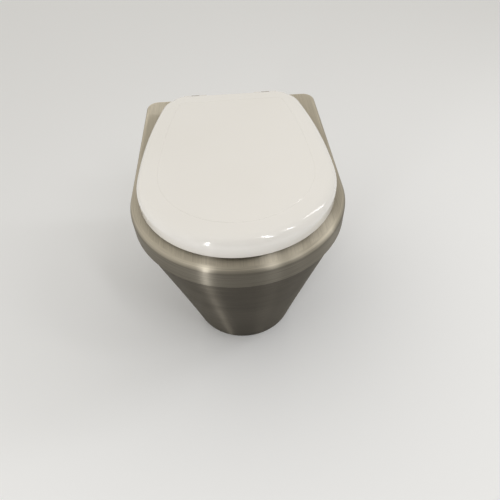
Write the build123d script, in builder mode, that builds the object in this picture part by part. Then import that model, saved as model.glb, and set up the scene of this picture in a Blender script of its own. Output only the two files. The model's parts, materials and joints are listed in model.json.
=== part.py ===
"""Floor-standing vacuum toilet in brushed stainless steel with a white seat and lid.

A pressed top deck with a deep rounded band sits over a tapered pedestal shell. The funnel bowl hangs
from the deck, and a rubber boot joins its neck to a gate valve that a vacuum actuator lifts. Seat and
lid turn on one rod held by two posts. Millimetres, +Z up, front towards -Y, origin on the floor at
the centre of the footprint.
"""

import os
from math import atan2, cos, degrees, radians, sqrt

from build123d import *

os.makedirs("parts", exist_ok=True)

# Outer body
rim_height = 410.0  # floor to the top of the deck
deck_width = 390.0
deck_depth = 535.0
nose_flattening = 4.0  # how much shallower the deck's nose is than a half circle
shoulder_reach = 23.0  # centre line to the centre of the shoulder arc
rear_corner_radius = 27.0
deck_edge_radius = 11.0
band_height = 40.0
sheet = 2.0  # wall of every pressed steel piece
collar_clearance = 0.3  # between the band and the pedestal collar inside it
collar_height = 22.0
foot_width = 230.0  # pedestal across the floor
foot_setback = 135.0  # deck nose to pedestal nose on the floor
foot_flattening = 19.0
foot_shoulder_reach = 48.0
hole_clearance = 0.3  # round a piece that passes through sheet

# Bowl and rinse ring
opening_half_width = 120.0
front_rim = 60.5  # deck nose to the opening
rear_shelf = 170.5  # deck back to the opening
bowl_lip = 16.0  # how far the deck overhangs the bowl wall
bowl_flange = 12.0
neck_outer_radius = 30.0
neck_top = 165.0
neck_bottom = 130.0
ring_tube_radius = 6.0
ring_drop = 12.0  # underside of the deck to the ring's centre line
ring_wall_gap = 4.0
ring_end_radius = 105.0
ring_jet_count = 16
ring_jet_radius = 1.2
ring_stub_radius = 5.0

# Hinge
hinge_setback = 49.5  # deck back to the pins' axis
hinge_rise = 26.0  # deck top to the pins' axis
hinge_spread = 155.0  # between the two posts
pin_radius = 3.0
pin_overhang = 1.5
pin_seat_clearance = 0.02
bush_clearance = 0.06
post_width = 18.0
post_depth = 13.0
post_flange_radius = 15.0
post_flange_height = 3.0
lug_radius = 6.5
lug_width = 14.0
lug_side_gap = 2.0
bolt_radius = 4.0
bolt_clearance = 0.3
thread_gap = 0.05
bolt_engagement = 14.0
bolt_head_height = 5.3
bolt_head_radius = 7.0
washer_radius = 9.0
washer_height = 1.6
backing_plate = 3.0
backing_length = 56.0
backing_width = 30.0

# Lid and seat
lid_half_width = 176.5
lid_line_setback = 6.0  # deck's widest line to the lid's
lid_hinge_gap = 14.0  # back of the lid to the pins' axis
lid_side_radius = 960.0
lid_corner_radius = 52.0
lid_lift = 8.0  # deck to the lower edge of the lid
lid_height = 46.0  # deck to the top of the lid
lid_wall = 4.0
lid_crease_inset = 38.0
lid_bevel_drop = 5.0
lid_roll_radius = 19.0
lid_notch_clearance = 2.0
lid_heel_reach = 33.0  # how far ahead of the pins the lid's skirt is shortened
lid_heel_lift = 10.0
seat_inset = 9.0
seat_lift = 8.0
seat_thickness = 20.0
seat_overhang_x = 14.0  # how far the seat reaches in over the opening
seat_overhang_y = 22.0
seat_edge_radius = 7.0
seat_lug_depth = 12.0
buffer_length = 34.0
buffer_width = 14.0
front_buffer_x = 60.0
front_buffer_setback = 60.5  # deck nose to the front pads
rear_buffer_x = 110.0
rear_buffer_setback = 98.0  # pins' axis to the rear pads
lid_buffer_radius = 7.0
lid_buffer_x = 85.0
lid_buffer_front = 107.5  # deck nose to the front discs
lid_buffer_rear = 88.0  # pins' axis to the rear discs

# Discharge valve
valve_setback = 79.0  # rear panel to the valve's axis
pipe_height = 72.0  # floor to the centre line of the discharge
boot_run = 8.0  # straight stretch between the boot's bend and the spigot
boot_wall = 5.0
boot_fit = 0.2
boot_grip = 22.0
spigot_length = 24.0
spigot_gap = 2.0
body_radius = 36.0
body_bottom = 40.0
foot_plate_length = 108.0
foot_plate_width = 46.0
foot_plate_height = 8.0
inlet_bore_radius = 25.0
outlet_bore_radius = 22.0
outlet_radius = 25.0
chamber_radius = 28.0
chamber_floor = 45.0
plug_clearance = 0.5
plug_height = 53.5
gate_travel = 52.0
stem_radius = 5.0
stem_clearance = 0.1
cylinder_floor = 160.0
cylinder_top = 240.0
cylinder_radius = 46.0
cylinder_wall = 4.0
plate_radius = 55.0
plate_height = 6.0
piston_height = 8.0
piston_rest_gap = 0.5
piston_clearance = 0.2
spring_radius = 24.0
spring_wire = 2.4
spring_turns = 5
tie_rod_radius = 2.5
tie_rod_place = 36.0
tie_rod_end = 6.0
nut_radius = 5.0
nut_height = 4.0
cradle_sheet = 3.0
cradle_width = 60.0
cradle_tab = 26.0
cradle_bolt_x = 45.0
cradle_bolt_radius = 3.0

# Rear panel and services
panel_setback = 62.5  # deck back to the front face of the removable rear panel
panel_gap = 1.0
panel_bottom = 4.0
panel_top = 394.0
flange_width = 18.0
flange_bottom = 34.0
flange_top = 360.0
flange_sheet = 2.0
screw_radius = 2.5
screw_length = 8.0
screw_head_radius = 5.0
screw_head_height = 2.6
screw_heights = (50.0, 190.0, 330.0)
outlet_setback = 5.5  # deck back to the pipe ends
outlet_bead_place = 23.0  # rear panel to the bead
outlet_bead_width = 3.0
outlet_bead_rise = 1.5
sleeve_wall = 5.0
sleeve_end_gap = 3.0  # rear panel to the sleeve
grommet_wall = 4.0
grommet_lip = 2.0
clamp_width = 9.0
clamp_band = 1.2
clamp_screw_radius = 4.0
clamp_screw_length = 14.0
foot_sheet = 4.0
foot_bolt_radius = 5.5
foot_bolt_inset = 25.0  # wall to the anchor hole
foot_front_place = 28.5  # base's widest line to the front feet
foot_rear_setback = 30.0  # rear panel to the rear feet
foot_length = 50.0
foot_reach = 42.0
foot_upstand = 30.0
hose_radius = 8.0
hose_bore = 6.0
hose_bend = 36.0
tube_radius = 3.0
tube_bore = 1.8
tube_bend = 14.0
tube_fit = 0.05
tube_hole_radius = 4.0
nipple_length = 12.0
water_x = -82.0
water_setback = 47.0  # rear panel to the water valve
water_floor = 232.0
water_height = 40.0
water_radius = 18.0
water_boss_radius = 14.0
water_boss_gap = 15.0  # rear panel to the boss
water_bore_radius = 9.0
plunger_clearance = 0.1
plunger_length = 14.0
plunger_travel = 4.0
plunger_spring_wire = 1.2
plunger_spring_radius = 6.0
inlet_height = 245.0
inlet_radius = 10.4  # G 1/2 thread
inlet_bore = 7.5
locknut_radius = 15.0
locknut_height = 7.0
relief_width = 2.0
relief_depth = 0.8
breaker_radius = 15.0
breaker_wall = 3.0
breaker_bottom = 340.0
breaker_port_z = 352.0
control_x = 84.0
control_width = 84.0
control_depth = 47.0
control_bottom = 262.0
control_height = 104.0
cover_sheet = 3.0
cover_screw_inset = 8.0
check_radius = 8.0
check_bottom = 140.0
check_top = 175.0
tap_place = 14.0  # rear panel to the vacuum tap
button_tube_z = 330.0
button_tube_gap = 15.0  # rear panel to the tube's run inside
vacuum_tube_x = 100.0
vacuum_tube_z = 230.0
vacuum_tube_gap = 25.0
actuator_tube_z = 285.0
actuator_tube_gap = 35.0
pilot_tube_x = 60.0
pilot_tube_z = 200.0
pilot_tube_gap = 11.0

# Flush button
button_setback = 34.5  # deck back to the button's axis
button_radius = 15.0
button_rise = 2.6
button_travel = 4.0
button_skirt = 14.0
button_wall = 2.0
button_clearance = 0.08
housing_radius = 17.5
housing_depth = 30.0
bezel_radius = 22.0
bezel_height = 1.6
housing_nut_height = 6.0
button_spring_radius = 9.0
button_spring_wire = 1.6
button_spring_turns = 4

# Places that follow from the sizes above
half_width = deck_width / 2
front_y = -deck_depth / 2
rear_y = deck_depth / 2
nose_depth = half_width - nose_flattening
shoulder_y = front_y + nose_depth
opening_half_length = (deck_depth - front_rim - rear_shelf) / 2
bowl_y = front_y + front_rim + opening_half_length
hinge_y = rear_y - hinge_setback
lid_back_y = hinge_y - lid_hinge_gap
lid_line_y = shoulder_y + lid_line_setback
panel_y = rear_y - panel_setback
valve_y = panel_y - valve_setback
spigot_front = valve_y - body_radius - spigot_length
neck_y = spigot_front - boot_run - (neck_bottom - pipe_height)
outlet_end_y = rear_y - outlet_setback
water_y = panel_y - water_setback
water_boss_end = panel_y - water_boss_gap
breaker_y = water_y
tap_y = panel_y + tap_place
button_y = rear_y - button_setback
band_bottom = rim_height - band_height
deck_underside = rim_height - sheet
collar_inset = sheet + collar_clearance
foot_nose_depth = foot_width / 2 - foot_flattening
foot_line_y = front_y + foot_setback + foot_nose_depth
foot_front_y = foot_line_y + foot_front_place
foot_rear_y = panel_y - foot_rear_setback
pedestal_back_y = rear_y - rear_corner_radius
hinge_z = rim_height + hinge_rise
seat_bottom = rim_height + seat_lift
seat_top = seat_bottom + seat_thickness
lid_bottom = rim_height + lid_lift
lid_top = rim_height + lid_height
post_x = hinge_spread / 2
ring_z = deck_underside - ring_drop
boot_radius = neck_outer_radius + boot_fit
boot_bend = neck_bottom - pipe_height
control_back = panel_y
control_left = control_x - control_width / 2
UP = (Align.CENTER, Align.CENTER, Align.MIN)


def draw_front(half, depth, corner, line_y):
    """Draws three tangent arcs from one end of the widest line, round the nose, to the other."""
    reach = half - corner
    nose = (reach**2 + depth**2 - corner**2) / (2 * (depth - corner))
    turn = degrees(atan2(reach, nose - depth))
    CenterArc((reach, line_y), corner, 0, turn - 90)
    CenterArc((0, line_y + nose - depth), nose, turn - 90, -2 * turn)
    CenterArc((-reach, line_y), corner, -90 - turn, turn - 90)


def draw_square_back(half, line_y, back_y):
    """Draws straight sides from the widest line to a square back."""
    Polyline((half, line_y), (half, back_y), (-half, back_y), (-half, line_y))


def draw_round_back(half, line_y, back_y, side_radius, corner):
    """Draws barely curved sides that run into round corners and a straight back edge."""
    side_x = half - side_radius
    corner_y = back_y - line_y - corner
    corner_x = side_x + sqrt((side_radius - corner) ** 2 - corner_y**2)
    lean = degrees(atan2(corner_y, corner_x - side_x))
    CenterArc((side_x, line_y), side_radius, 0, lean)
    CenterArc((corner_x, line_y + corner_y), corner, lean, 90 - lean)
    Line((corner_x, back_y), (-corner_x, back_y))
    CenterArc((-corner_x, line_y + corner_y), corner, 90, 90 - lean)
    CenterArc((-side_x, line_y), side_radius, 180 - lean, lean)


def draw_lid_outline(inset, back_y=lid_back_y):
    """Draws the lid's outline, moved in by inset all round."""
    half = lid_half_width - inset
    CenterArc((0, lid_line_y), half, 180, 180)
    draw_round_back(half, lid_line_y, back_y - inset, lid_side_radius - inset, lid_corner_radius - inset)


def draw_deck_outline(inset, back_y):
    """Draws the deck's outline, moved in by inset, with its square back at back_y."""
    half = half_width - inset
    draw_front(half, nose_depth - inset, half - shoulder_reach, shoulder_y)
    draw_square_back(half, shoulder_y, back_y)


def draw_foot_outline(inset, back_y):
    """Draws the pedestal's outline on the floor, moved in by inset."""
    half = foot_width / 2 - inset
    draw_front(half, foot_nose_depth - inset, half - foot_shoulder_reach, foot_line_y)
    draw_square_back(half, foot_line_y, back_y)


def wall_x(height, inset=sheet):
    """Half width of the pedestal at a height above the floor, moved in by inset."""
    top = half_width - collar_inset
    return foot_width / 2 + (top - foot_width / 2) * height / band_bottom - inset


def along_y(x, y, z):
    """A sketch plane whose normal points to the back, with its x to the left."""
    return Plane(origin=(x, y, z), x_dir=(-1, 0, 0), z_dir=(0, 1, 0))


def save(piece, name):
    """Labels a finished piece and writes it."""
    piece.part.label = name
    export_step(piece.part, f"parts/{name}.step")


# Top deck: one pressing with a rounded edge, a deep band and the bowl's opening.
with BuildPart() as top_deck:
    with BuildSketch(Plane.XY.offset(band_bottom)) as deck_sketch:
        with BuildLine():
            draw_deck_outline(0, rear_y)
        make_face()
        fillet(deck_sketch.vertices().group_by(Axis.Y)[-1], rear_corner_radius)
    extrude(amount=band_height)
    fillet(top_deck.faces().sort_by(Axis.Z)[-1].edges(), deck_edge_radius)
    offset(amount=-sheet, openings=top_deck.faces().sort_by(Axis.Z)[0])
    with BuildSketch(Plane.XY.offset(rim_height)):
        with Locations((0, bowl_y)):
            Ellipse(opening_half_width, opening_half_length)
    extrude(amount=-2 * sheet, mode=Mode.SUBTRACT)
    with Locations((0, hinge_y, rim_height)):
        with GridLocations(hinge_spread, 0, 2, 1):
            Hole(bolt_radius + bolt_clearance, depth=2 * sheet)
    with Locations((0, button_y, rim_height)):
        Hole(housing_radius + hole_clearance, depth=2 * sheet)
save(top_deck, "top_deck")

# Pedestal: a tapered shell from the band to the floor, open at the back, with a collar in the band.
with BuildPart() as pedestal_shell:
    with BuildSketch(Plane.XY.offset(band_bottom)):
        with BuildLine():
            draw_deck_outline(collar_inset, pedestal_back_y)
        make_face()
    with BuildSketch(Plane.XY):
        with BuildLine():
            draw_foot_outline(0, pedestal_back_y)
        make_face()
    loft(ruled=True)
    with BuildSketch(Plane.XY.offset(band_bottom)):
        with BuildLine():
            draw_deck_outline(collar_inset, pedestal_back_y)
        make_face()
    extrude(amount=collar_height)
    with BuildSketch(Plane.XY.offset(band_bottom)):
        with BuildLine():
            draw_deck_outline(collar_inset + sheet, rear_y)
        make_face()
    with BuildSketch(Plane.XY):
        with BuildLine():
            draw_foot_outline(sheet, rear_y)
        make_face()
    loft(ruled=True, mode=Mode.SUBTRACT)
    with BuildSketch(Plane.XY.offset(band_bottom)):
        with BuildLine():
            draw_deck_outline(collar_inset + sheet, rear_y)
        make_face()
    extrude(amount=collar_height, mode=Mode.SUBTRACT)
save(pedestal_shell, "pedestal_shell")

# Bowl: a deep funnel whose oval mouth narrows and leans back to a round neck.
mouth_x = opening_half_width + bowl_lip
mouth_y = opening_half_length + bowl_lip
throat = neck_outer_radius - sheet
# Drop below the deck, share of the way in to the throat, share of the way back to the neck.
bowl_profile = ((0, 0, 0), (28, 0.018, 0), (88, 0.18, 0.09), (168, 0.57, 0.51))
bowl_sections = [
    (
        deck_underside - drop,
        mouth_x - (mouth_x - throat) * narrowing,
        mouth_y - (mouth_y - throat) * narrowing,
        bowl_y + (neck_y - bowl_y) * lean,
    )
    for drop, narrowing, lean in bowl_profile
]
bowl_sections.append((neck_top, throat, throat, neck_y))

with BuildPart() as bowl:
    for height, across, along, centre_y in bowl_sections:
        with BuildSketch(Plane.XY.offset(height)):
            with Locations((0, centre_y)):
                Ellipse(across + sheet, along + sheet)
    loft()
    with BuildSketch(Plane.XY.offset(deck_underside - sheet)):
        with Locations((0, bowl_y)):
            Ellipse(mouth_x + bowl_flange, mouth_y + bowl_flange)
    extrude(amount=sheet)
    with BuildSketch(Plane.XY.offset(neck_bottom)):
        with Locations((0, neck_y)):
            Circle(neck_outer_radius)
    extrude(amount=neck_top - neck_bottom)
    for height, across, along, centre_y in bowl_sections:
        with BuildSketch(Plane.XY.offset(height)):
            with Locations((0, centre_y)):
                Ellipse(across, along)
    loft(mode=Mode.SUBTRACT)
    with BuildSketch(Plane.XY.offset(neck_bottom)):
        with Locations((0, neck_y)):
            Circle(throat)
    extrude(amount=neck_top - neck_bottom, mode=Mode.SUBTRACT)
    with BuildSketch(along_y(0, bowl_y + opening_half_length, ring_z)):
        Circle(ring_stub_radius + thread_gap)
    extrude(amount=bowl_lip + bowl_flange, mode=Mode.SUBTRACT)
save(bowl, "bowl")

# Rinse ring: an oval tube under the deck's lip with a row of jets and one inlet stub at the back.
ring_x = mouth_x - ring_tube_radius - ring_wall_gap
ring_y = mouth_y - ring_tube_radius - ring_wall_gap

side_square = (ring_y - ring_end_radius) ** 2 + ring_x**2 - ring_end_radius**2
ring_side_radius = side_square / (2 * (ring_x - ring_end_radius))
ring_turn = degrees(atan2(ring_y - ring_end_radius, ring_side_radius - ring_x))

with BuildPart() as rinse_ring:
    with BuildLine(Plane.XY.offset(ring_z)) as ring_path:
        for side, end_y in ((0, ring_y - ring_end_radius), (180, ring_end_radius - ring_y)):
            side_x = (ring_x - ring_side_radius) * cos(radians(side))
            CenterArc((side_x, bowl_y), ring_side_radius, side - ring_turn, 2 * ring_turn)
            CenterArc((0, bowl_y + end_y), ring_end_radius, side + ring_turn, 180 - 2 * ring_turn)
    with BuildSketch(Plane(origin=ring_path.line @ 0, z_dir=ring_path.line % 0)):
        Circle(ring_tube_radius)
    sweep()
    with BuildSketch(along_y(0, bowl_y + ring_y, ring_z)):
        Circle(ring_stub_radius)
    extrude(amount=breaker_y - breaker_radius + breaker_wall - bowl_y - ring_y)
    jets = []
    for jet in range(ring_jet_count):
        along = ring_path.line % ((jet + 0.5) / ring_jet_count)
        place = ring_path.line @ ((jet + 0.5) / ring_jet_count)
        jets.append(Plane(origin=place, z_dir=(-along.Y, along.X, -1)))
    with Locations(*jets):
        Cylinder(ring_jet_radius, 2 * ring_tube_radius, align=UP, mode=Mode.SUBTRACT)
save(rinse_ring, "rinse_ring")

# Vacuum breaker: a hollow upright can under the deck, fed from the left and feeding the ring.
with BuildPart() as vacuum_breaker:
    with BuildSketch(Plane.XY.offset(breaker_bottom)):
        with Locations((0, breaker_y)):
            Circle(breaker_radius)
    extrude(amount=deck_underside - breaker_bottom)
    with BuildSketch(Plane(origin=(0, breaker_y, breaker_port_z), x_dir=(0, 1, 0), z_dir=(-1, 0, 0))):
        Circle(hose_bore - tube_fit)
    extrude(amount=breaker_radius + nipple_length)
    with BuildSketch(Plane.XY.offset(breaker_bottom + breaker_wall)):
        with Locations((0, breaker_y)):
            Circle(breaker_radius - breaker_wall)
    extrude(amount=deck_underside - breaker_bottom - 2 * breaker_wall, mode=Mode.SUBTRACT)
    with BuildSketch(Plane(origin=(0, breaker_y, breaker_port_z), x_dir=(0, 1, 0), z_dir=(-1, 0, 0))):
        Circle(hose_bore - tube_fit - 2)
    extrude(amount=breaker_radius + nipple_length, mode=Mode.SUBTRACT)
    with BuildSketch(along_y(0, breaker_y - breaker_radius, ring_z)):
        Circle(ring_stub_radius + thread_gap)
    extrude(amount=breaker_wall, mode=Mode.SUBTRACT)
save(vacuum_breaker, "vacuum_breaker")


def tube(points, radius, bore, bend):
    """A round hose along straight runs with equal bends, open at both ends."""
    with BuildPart() as run:
        with BuildLine() as path:
            FilletPolyline(*points, radius=bend)
        with BuildSketch(Plane(origin=path.line @ 0, z_dir=path.line % 0)):
            Circle(radius)
            Circle(bore, mode=Mode.SUBTRACT)
        sweep()
    return run


# Rinse hose: rubber, from the top of the water valve up and across to the vacuum breaker.
water_top = water_floor + water_height
hose_points = (
    (water_x, water_y, water_top + 2),
    (water_x, water_y, breaker_port_z),
    (-breaker_radius - 2, breaker_y, breaker_port_z),
)
rinse_hose = tube(hose_points, hose_radius, hose_bore, hose_bend)
save(rinse_hose, "rinse_hose")

# Water valve: a turned body with a rear boss for the inlet and nipples for hose and pilot tube.
chamber_bottom = water_floor + 6
chamber_top = water_top - 6

with BuildPart() as water_valve_body:
    with BuildSketch(Plane.XY.offset(water_floor)):
        with Locations((water_x, water_y)):
            Circle(water_radius)
    extrude(amount=water_height)
    with BuildSketch(along_y(water_x, water_y, inlet_height)):
        Circle(water_boss_radius)
    extrude(amount=water_boss_end - water_y)
    with BuildSketch(Plane.XY.offset(water_top)):
        with Locations((water_x, water_y)):
            Circle(hose_bore - tube_fit)
    extrude(amount=nipple_length)
    with BuildSketch(Plane.XY.offset(water_floor)):
        with Locations((water_x, water_y)):
            Circle(tube_bore - tube_fit)
    extrude(amount=-nipple_length)
    with BuildSketch(Plane.XY.offset(chamber_bottom)):
        with Locations((water_x, water_y)):
            Circle(water_bore_radius)
    extrude(amount=chamber_top - chamber_bottom, mode=Mode.SUBTRACT)
    with BuildSketch(Plane.XY.offset(chamber_top)):
        with Locations((water_x, water_y)):
            Circle(hose_bore - 2)
    extrude(amount=water_top + nipple_length - chamber_top, mode=Mode.SUBTRACT)
    with BuildSketch(along_y(water_x, water_y + water_bore_radius - 2, inlet_height)):
        Circle(inlet_bore - 2)
    extrude(amount=water_boss_end - water_y, mode=Mode.SUBTRACT)
    with BuildSketch(along_y(water_x, water_y + water_radius, inlet_height)):
        Circle(inlet_radius + thread_gap)
    extrude(amount=water_boss_end - water_y, mode=Mode.SUBTRACT)
save(water_valve_body, "water_valve_body")

# Water valve plunger and its spring: the plunger rises off its seat to let rinse water past.
with BuildPart() as water_valve_plunger:
    with BuildSketch(Plane.XY.offset(chamber_bottom + 0.1)):
        with Locations((water_x, water_y)):
            Circle(water_bore_radius - plunger_clearance)
    extrude(amount=plunger_length)
    chamfer(water_valve_plunger.edges().group_by(Axis.Z)[-1], 1.5)
save(water_valve_plunger, "water_valve_plunger")


def coil(centre, radius, wire, turns, low, high):
    """A compression spring of square wire between two heights."""
    with BuildPart() as spring:
        with BuildLine():
            Helix((high - low - wire) / turns, high - low - wire, radius, center=(*centre, low + wire / 2))
        with BuildSketch(Plane(origin=(centre[0] + radius, centre[1], low + wire / 2), z_dir=(0, 1, 0))):
            Rectangle(wire, wire)
        sweep(is_frenet=True)
    return spring


water_valve_spring = coil(
    (water_x, water_y),
    plunger_spring_radius,
    plunger_spring_wire,
    3,
    chamber_bottom + plunger_length + 0.3,
    chamber_top - 0.2,
)
save(water_valve_spring, "water_valve_spring")

# Water inlet: a threaded nipple through the rear panel, held by a hexagon locknut.
relief_y = panel_y + sheet + locknut_height + 2

with BuildPart() as inlet_nipple:
    with BuildSketch(along_y(water_x, water_y + water_radius, inlet_height)):
        Circle(inlet_radius)
    extrude(amount=outlet_end_y - water_y - water_radius)
    with BuildSketch(along_y(water_x, water_boss_end, inlet_height)):
        RegularPolygon(locknut_radius, 6)
    extrude(amount=panel_y - water_boss_end)
    with BuildSketch(along_y(water_x, relief_y, inlet_height)):
        Circle(inlet_radius)
        Circle(inlet_radius - relief_depth, mode=Mode.SUBTRACT)
    extrude(amount=relief_width, mode=Mode.SUBTRACT)
    with BuildSketch(along_y(water_x, water_y + water_radius, inlet_height)):
        Circle(inlet_bore)
    extrude(amount=outlet_end_y - water_y - water_radius, mode=Mode.SUBTRACT)
save(inlet_nipple, "inlet_nipple")

with BuildPart() as inlet_locknut:
    with BuildSketch(along_y(water_x, panel_y + sheet, inlet_height)):
        RegularPolygon(locknut_radius, 6)
        Circle(inlet_radius + thread_gap, mode=Mode.SUBTRACT)
    extrude(amount=locknut_height)
save(inlet_locknut, "inlet_locknut")

# Elbow boot: rubber, from the bowl's neck round to the inlet of the discharge valve.
boot_points = (
    (0, neck_y, neck_bottom + boot_grip),
    (0, neck_y, pipe_height),
    (0, valve_y - body_radius - spigot_gap, pipe_height),
)
elbow_boot = tube(boot_points, boot_radius + boot_wall, boot_radius, boot_bend)
save(elbow_boot, "elbow_boot")

# Discharge valve body: a bored block with an inlet spigot in front and an outlet spigot behind.
with BuildPart() as valve_body:
    with BuildSketch(Plane.XY.offset(body_bottom)):
        with Locations((0, valve_y)):
            Circle(body_radius)
    extrude(amount=cylinder_floor - body_bottom)
    with BuildSketch(Plane.XY.offset(body_bottom)):
        with Locations((0, valve_y)):
            RectangleRounded(foot_plate_length, foot_plate_width, 8)
    extrude(amount=foot_plate_height)
    with BuildSketch(Plane.XY.offset(cylinder_floor - plate_height)):
        with Locations((0, valve_y)):
            Circle(plate_radius)
    extrude(amount=plate_height)
    with BuildSketch(along_y(0, spigot_front, pipe_height)):
        Circle(neck_outer_radius)
    extrude(amount=spigot_length + body_radius)
    with BuildSketch(along_y(0, valve_y, pipe_height)):
        Circle(outlet_radius)
    extrude(amount=body_radius + spigot_length)
    with BuildSketch(Plane.XY.offset(chamber_floor)):
        with Locations((0, valve_y)):
            Circle(chamber_radius)
    extrude(amount=cylinder_floor - chamber_floor, mode=Mode.SUBTRACT)
    with BuildSketch(along_y(0, spigot_front, pipe_height)):
        Circle(inlet_bore_radius)
    extrude(amount=spigot_length + body_radius, mode=Mode.SUBTRACT)
    with BuildSketch(along_y(0, valve_y, pipe_height)):
        Circle(outlet_bore_radius)
    extrude(amount=body_radius + spigot_length, mode=Mode.SUBTRACT)
    with BuildSketch(Plane.XY.offset(cylinder_floor - plate_height)):
        with Locations((0, valve_y)):
            with GridLocations(2 * tie_rod_place, 2 * tie_rod_place, 2, 2):
                Circle(tie_rod_radius + thread_gap)
    extrude(amount=plate_height, mode=Mode.SUBTRACT)
    with BuildSketch(Plane.XY.offset(body_bottom)):
        with Locations((0, valve_y)):
            with GridLocations(2 * cradle_bolt_x, 0, 2, 1):
                Circle(cradle_bolt_radius + thread_gap)
    extrude(amount=foot_plate_height, mode=Mode.SUBTRACT)
save(valve_body, "valve_body")

# Gate: the plug that closes the passage, on one stem with the piston that lifts it.
plug_bottom = chamber_floor + plug_clearance
piston_bottom = cylinder_floor + plate_height + piston_rest_gap

with BuildPart() as gate:
    with BuildSketch(Plane.XY.offset(plug_bottom)):
        with Locations((0, valve_y)):
            Circle(chamber_radius - plug_clearance)
    extrude(amount=plug_height)
    with BuildSketch(Plane.XY.offset(plug_bottom)):
        with Locations((0, valve_y)):
            Circle(stem_radius)
    extrude(amount=piston_bottom - plug_bottom)
    with BuildSketch(Plane.XY.offset(piston_bottom)):
        with Locations((0, valve_y)):
            Circle(cylinder_radius - cylinder_wall - piston_clearance)
    extrude(amount=piston_height)
save(gate, "gate")

# Vacuum actuator: a cylinder on the valve, its cap, four tie rods and the return spring.
with BuildPart() as actuator_cylinder:
    with BuildSketch(Plane.XY.offset(cylinder_floor)):
        with Locations((0, valve_y)):
            Circle(cylinder_radius)
    extrude(amount=cylinder_top - cylinder_floor)
    with BuildSketch(Plane.XY.offset(cylinder_floor)):
        with Locations((0, valve_y)):
            Circle(plate_radius)
            with GridLocations(2 * tie_rod_place, 2 * tie_rod_place, 2, 2):
                Circle(tie_rod_radius + thread_gap, mode=Mode.SUBTRACT)
    extrude(amount=plate_height)
    with BuildSketch(Plane.XY.offset(cylinder_floor + plate_height)):
        with Locations((0, valve_y)):
            Circle(cylinder_radius - cylinder_wall)
    extrude(amount=cylinder_top - cylinder_floor, mode=Mode.SUBTRACT)
    with BuildSketch(Plane.XY.offset(cylinder_floor)):
        with Locations((0, valve_y)):
            Circle(stem_radius + stem_clearance)
    extrude(amount=plate_height, mode=Mode.SUBTRACT)
save(actuator_cylinder, "actuator_cylinder")

with BuildPart() as actuator_cap:
    with BuildSketch(Plane.XY.offset(cylinder_top)):
        with Locations((0, valve_y)):
            Circle(plate_radius)
            with GridLocations(2 * tie_rod_place, 2 * tie_rod_place, 2, 2):
                Circle(tie_rod_radius + thread_gap, mode=Mode.SUBTRACT)
    extrude(amount=plate_height)
    with BuildSketch(Plane.XY.offset(cylinder_top + plate_height)):
        with Locations((0, valve_y)):
            Circle(tube_bore - tube_fit)
    extrude(amount=nipple_length)
save(actuator_cap, "actuator_cap")

with BuildPart() as tie_rods:
    with BuildSketch(Plane.XY.offset(cylinder_floor - plate_height - tie_rod_end)):
        with Locations((0, valve_y)):
            with GridLocations(2 * tie_rod_place, 2 * tie_rod_place, 2, 2):
                Circle(tie_rod_radius)
    extrude(amount=cylinder_top - cylinder_floor + 2 * plate_height + 2 * tie_rod_end)
    for height in (cylinder_floor - plate_height - nut_height, cylinder_top + plate_height):
        with BuildSketch(Plane.XY.offset(height)):
            with Locations((0, valve_y)):
                with GridLocations(2 * tie_rod_place, 2 * tie_rod_place, 2, 2):
                    RegularPolygon(nut_radius, 6)
        extrude(amount=nut_height)
save(tie_rods, "tie_rods")

return_spring = coil(
    (0, valve_y),
    spring_radius,
    spring_wire,
    spring_turns,
    piston_bottom + piston_height + 0.1,
    cylinder_top - 0.1,
)
save(return_spring, "return_spring")

# Valve cradle: a strap across the pedestal, its ends bent up along the sloping walls.
strap_bottom = body_bottom - cradle_sheet
strap_top = strap_bottom + cradle_tab

with BuildPart() as valve_cradle:
    with BuildSketch(Plane.XZ.offset(-valve_y)):
        with BuildLine():
            Polyline(
                (-wall_x(strap_bottom), strap_bottom),
                (wall_x(strap_bottom), strap_bottom),
                (wall_x(strap_top), strap_top),
                (wall_x(strap_top) - cradle_sheet, strap_top),
                (wall_x(body_bottom) - cradle_sheet, body_bottom),
                (-wall_x(body_bottom) + cradle_sheet, body_bottom),
                (-wall_x(strap_top) + cradle_sheet, strap_top),
                (-wall_x(strap_top), strap_top),
                close=True,
            )
        make_face()
    extrude(amount=cradle_width / 2, both=True)
    with BuildSketch(Plane.XY.offset(strap_bottom)):
        with Locations((0, valve_y)):
            with GridLocations(2 * cradle_bolt_x, 0, 2, 1):
                Circle(cradle_bolt_radius + thread_gap)
    extrude(amount=cradle_sheet, mode=Mode.SUBTRACT)
save(valve_cradle, "valve_cradle")

with BuildPart() as cradle_bolts:
    with BuildSketch(Plane.XY.offset(strap_bottom)):
        with Locations((0, valve_y)):
            with GridLocations(2 * cradle_bolt_x, 0, 2, 1):
                Circle(cradle_bolt_radius)
    extrude(amount=cradle_sheet + foot_plate_height + nut_height)
    for height in (strap_bottom - nut_height, body_bottom + foot_plate_height):
        with BuildSketch(Plane.XY.offset(height)):
            with Locations((0, valve_y)):
                with GridLocations(2 * cradle_bolt_x, 0, 2, 1):
                    RegularPolygon(nut_radius, 6)
        extrude(amount=nut_height)
save(cradle_bolts, "cradle_bolts")

# Discharge line: the pipe out of the back, the rubber sleeve on it and the grommet in the panel.
pipe_front = valve_y + body_radius + spigot_length + spigot_gap

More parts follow.
